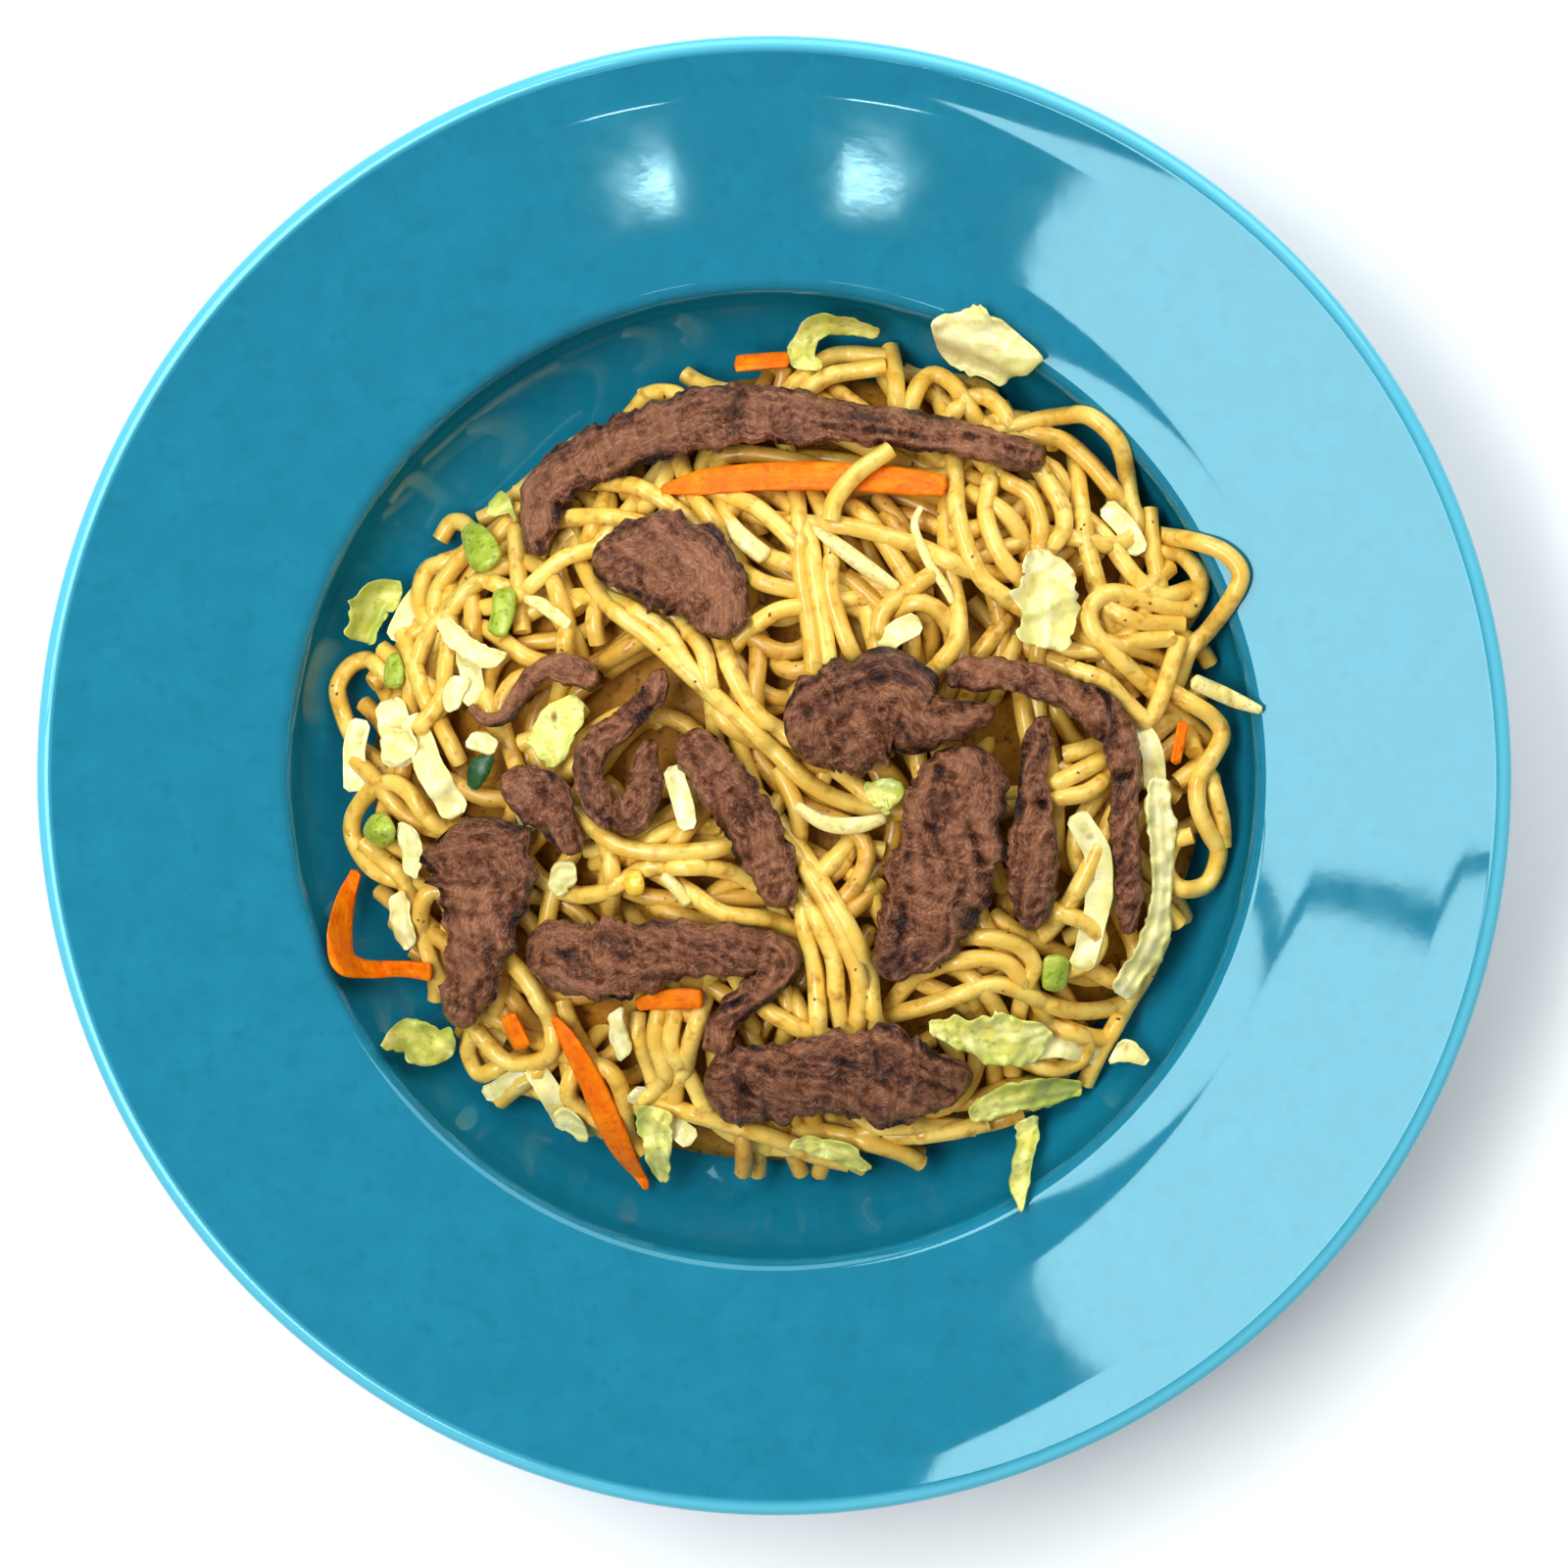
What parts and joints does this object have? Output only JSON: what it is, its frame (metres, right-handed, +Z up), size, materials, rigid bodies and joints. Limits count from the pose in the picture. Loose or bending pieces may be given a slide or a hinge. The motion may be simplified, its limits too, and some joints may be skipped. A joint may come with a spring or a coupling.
{
  "type": "plate of stir-fried noodles",
  "caption": "Stir-fried egg noodles with beef strips, carrot, cabbage and greens, heaped in the well of a wide-rimmed turquoise stoneware pasta plate.",
  "frame": {"origin": "centre of the plate's foot, on the surface it stands on", "axes": "+Z up along the plate's axis, +Y towards the picture's top edge, +X towards its right edge"},
  "size_m": [0.28, 0.28, 0.0546],
  "materials": {
    "glaze": "glossy turquoise glaze on stoneware",
    "noodle": "oily cooked egg noodle",
    "beef": "glossy seared beef",
    "carrot": "glossy cooked carrot",
    "cabbage": "soft translucent cooked leaf",
    "cabbage_white": "pale crisp cooked leaf",
    "green": "glossy green stem",
    "dark_green": "glossy dark green leaf",
    "sprout": "pale translucent sprout",
    "corn": "glossy yellow kernel"
  },
  "bodies": {
    "root": {"plate": "glaze", "plate_rim": "glaze", "noodles": "noodle", "beef_long": "beef", "beef_patch": "beef", "beef_curl": "beef", "beef_arm": "beef", "beef_knot": "beef", "beef_chip": "beef", "beef_left": "beef", "beef_zigzag": "beef", "beef_fold": "beef", "beef_arch": "beef", "beef_slab": "beef", "beef_sliver": "beef", "carrot_top": "carrot", "carrot_long": "carrot", "carrot_hook": "carrot", "carrot_under_bar": "carrot", "carrot_spear": "carrot", "carrot_stub": "carrot", "carrot_chip": "carrot", "leaf_top_curl": "cabbage", "leaf_top_right": "cabbage_white", "leaf_heart": "cabbage_white", "leaf_upper_left": "cabbage", "leaf_left_upper": "cabbage", "leaf_ribbon": "cabbage_white", "leaf_stem": "cabbage_white", "leaf_stem_low": "cabbage_white", "leaf_translucent": "cabbage", "leaf_left_mid": "cabbage_white", "leaf_left_low": "cabbage_white", "leaf_left_rib": "cabbage_white", "leaf_bottom_left": "cabbage", "leaf_bottom_pale": "cabbage_white", "leaf_bottom_mid": "cabbage", "leaf_bottom_green": "cabbage", "leaf_lower_right": "cabbage", "leaf_long_lower": "cabbage", "leaf_spear": "cabbage", "leaf_right_long": "cabbage_white", "leaf_right_tip": "cabbage_white", "leaf_knob": "cabbage", "leaf_tucked": "cabbage_white", "leaf_vertical": "cabbage_white", "stem_green": "green", "scallion_stem": "green", "scallion_left": "green", "pea": "green", "stem_cube": "green", "dark_leaf_left": "dark_green", "sprout_upper": "sprout", "sprout_thin": "sprout", "sprout_right": "sprout", "rib_centre": "sprout", "rib_left": "sprout", "rib_low": "sprout", "rib_dark_tip": "sprout", "corn_kernel": "corn"}
  },
  "joints": []
}
